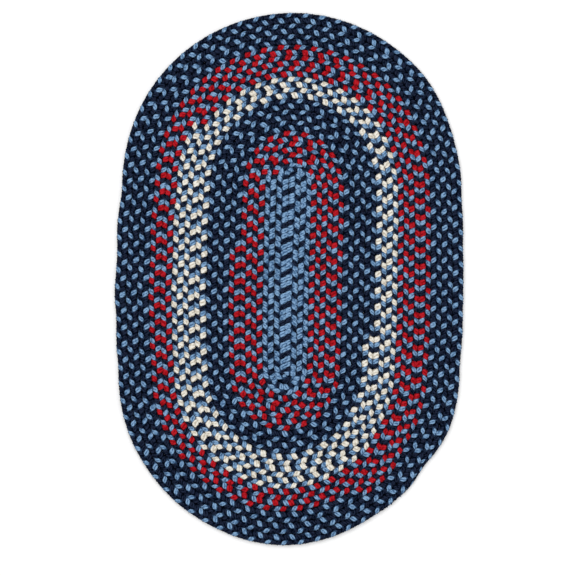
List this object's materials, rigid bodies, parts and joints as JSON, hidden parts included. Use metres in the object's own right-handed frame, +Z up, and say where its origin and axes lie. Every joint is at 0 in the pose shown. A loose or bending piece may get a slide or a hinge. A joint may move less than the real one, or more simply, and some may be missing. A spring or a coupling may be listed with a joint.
{
  "type": "braided rug",
  "caption": "Flat oval rug of one three-strand braid wound in a spiral and laced row to row, with ribbed rows in coloured bands.",
  "frame": {"origin": "middle of the rug's outline, on its underside", "axes": "+Y along the oval's length, +X to the side where the braid runs towards -Y, +Z up out of the ribbed face"},
  "size_m": [0.6086, 0.9272, 0.011],
  "materials": {
    "navy_yarn": "matt braided cloth, dark navy",
    "light_blue_yarn": "matt braided cloth, light blue",
    "red_yarn": "matt braided cloth, red",
    "cream_yarn": "matt braided cloth, cream"
  },
  "bodies": {
    "root": {"braided_rug": "navy_yarn"}
  },
  "joints": []
}
